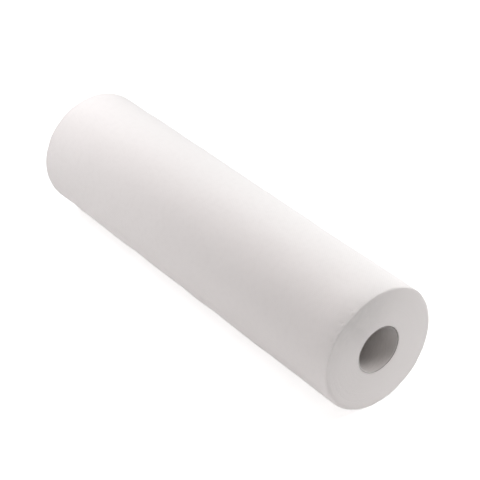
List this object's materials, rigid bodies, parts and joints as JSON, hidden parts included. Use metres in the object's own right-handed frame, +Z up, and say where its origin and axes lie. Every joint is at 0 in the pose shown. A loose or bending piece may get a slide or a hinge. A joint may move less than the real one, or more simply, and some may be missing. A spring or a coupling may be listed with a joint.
{
  "type": "nonwoven couch roll",
  "caption": "White nonwoven web wound on a grey board tube into a long, soft-edged cylinder, lying on its side; it is pulled off the tube to cover an examination couch.",
  "frame": {"origin": "on the axis of the core's bore, at the middle of its length", "axes": "+X along the axis towards the end that faces the viewer, +Y towards the back, where the tail edge of the web lies low, +Z up"},
  "size_m": [0.5, 0.137, 0.1361],
  "materials": {
    "nonwoven": "matte",
    "core_board": "matte"
  },
  "bodies": {
    "root": {"wound_web": "nonwoven", "core_tube": "core_board"}
  },
  "joints": []
}
